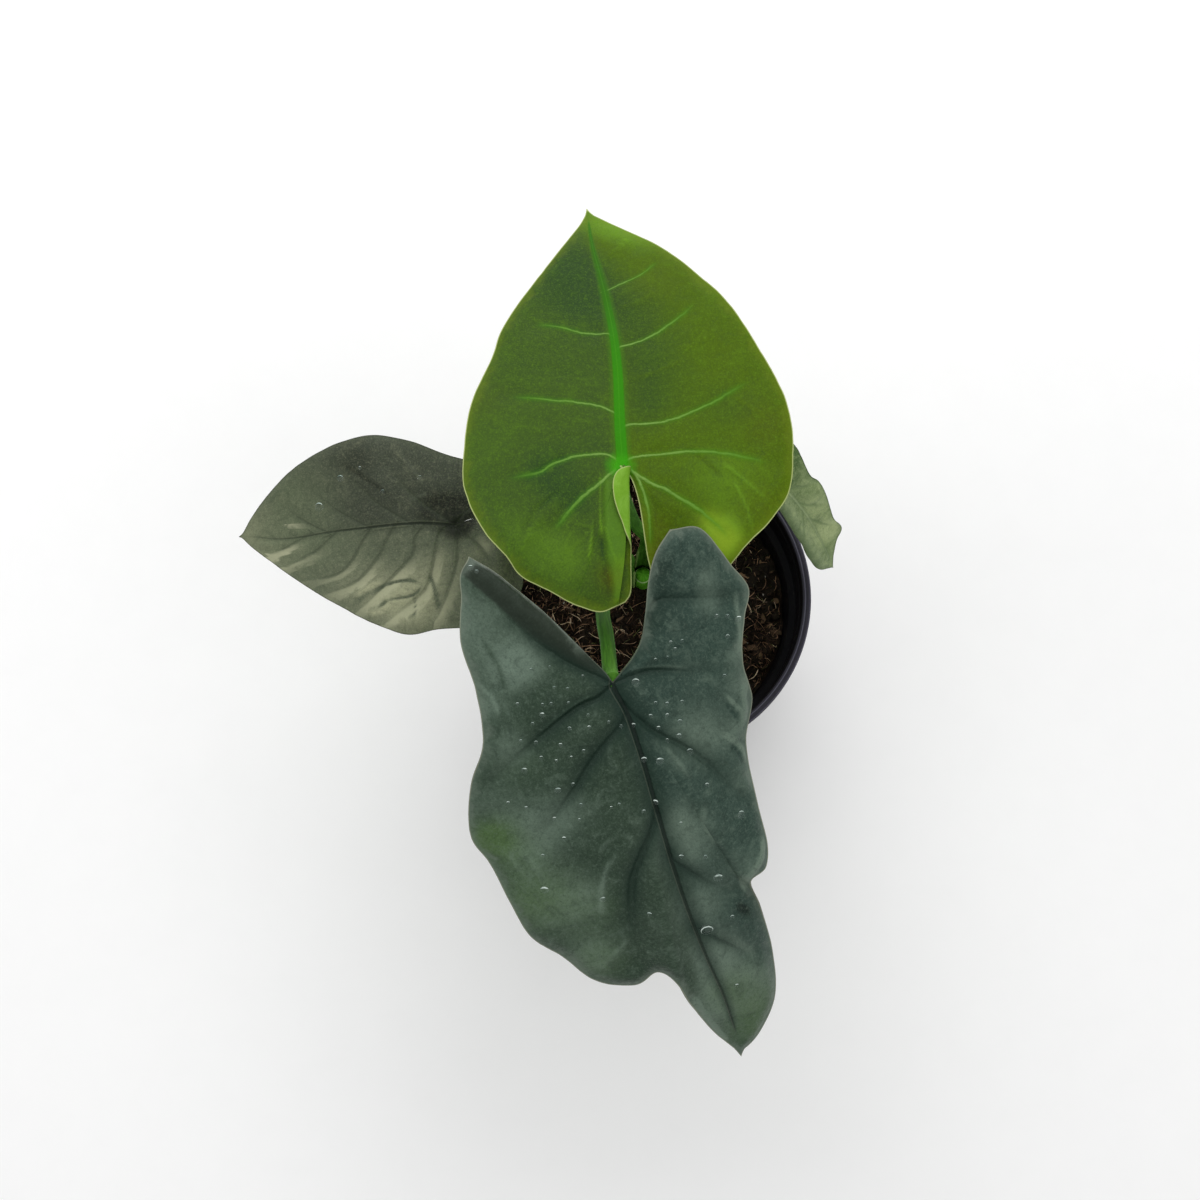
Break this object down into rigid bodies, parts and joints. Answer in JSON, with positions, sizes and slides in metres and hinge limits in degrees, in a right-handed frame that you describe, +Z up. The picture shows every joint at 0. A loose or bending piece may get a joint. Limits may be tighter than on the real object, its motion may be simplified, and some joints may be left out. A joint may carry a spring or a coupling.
{
  "type": "potted aroid plant",
  "caption": "Small aroid in a round nursery pot: arrow-shaped blades on upright sheathed stems that rise from a central crown in dark potting mix.",
  "frame": {"origin": "middle of the flat pad under the pot's bottom, on the surface that the pot stands on", "axes": "+Z up, +X to the right and +Y away from the viewer as in the picture; the young leaf points to +Y and the large front leaf to -Y"},
  "size_m": [0.2088, 0.2766, 0.2558],
  "materials": {
    "pot_plastic": "black moulded plastic, satin",
    "potting_mix": "damp coir and peat mix with fibres",
    "corm_skin": "dull brown",
    "bud_skin": "smooth waxy green",
    "stem_green": "smooth waxy green",
    "stem_dark": "smooth waxy dark green",
    "blade_young": "soft sheen, bright green with light veins",
    "blade_dark": "satin, dark blue-green with darker veins",
    "blade_silver": "satin, silvery grey-green with dark veins",
    "blade_grey": "dull grey-green"
  },
  "bodies": {
    "root": {"pot": "pot_plastic", "soil": "potting_mix", "corm_and_roots": "corm_skin", "bud_sheath": "bud_skin", "petiole_young": "stem_green", "petiole_front": "stem_green", "petiole_left": "stem_dark", "petiole_right": "stem_dark", "leaf_young": "blade_young", "leaf_front": "blade_dark", "leaf_left": "blade_silver", "leaf_right": "blade_grey"}
  },
  "joints": []
}
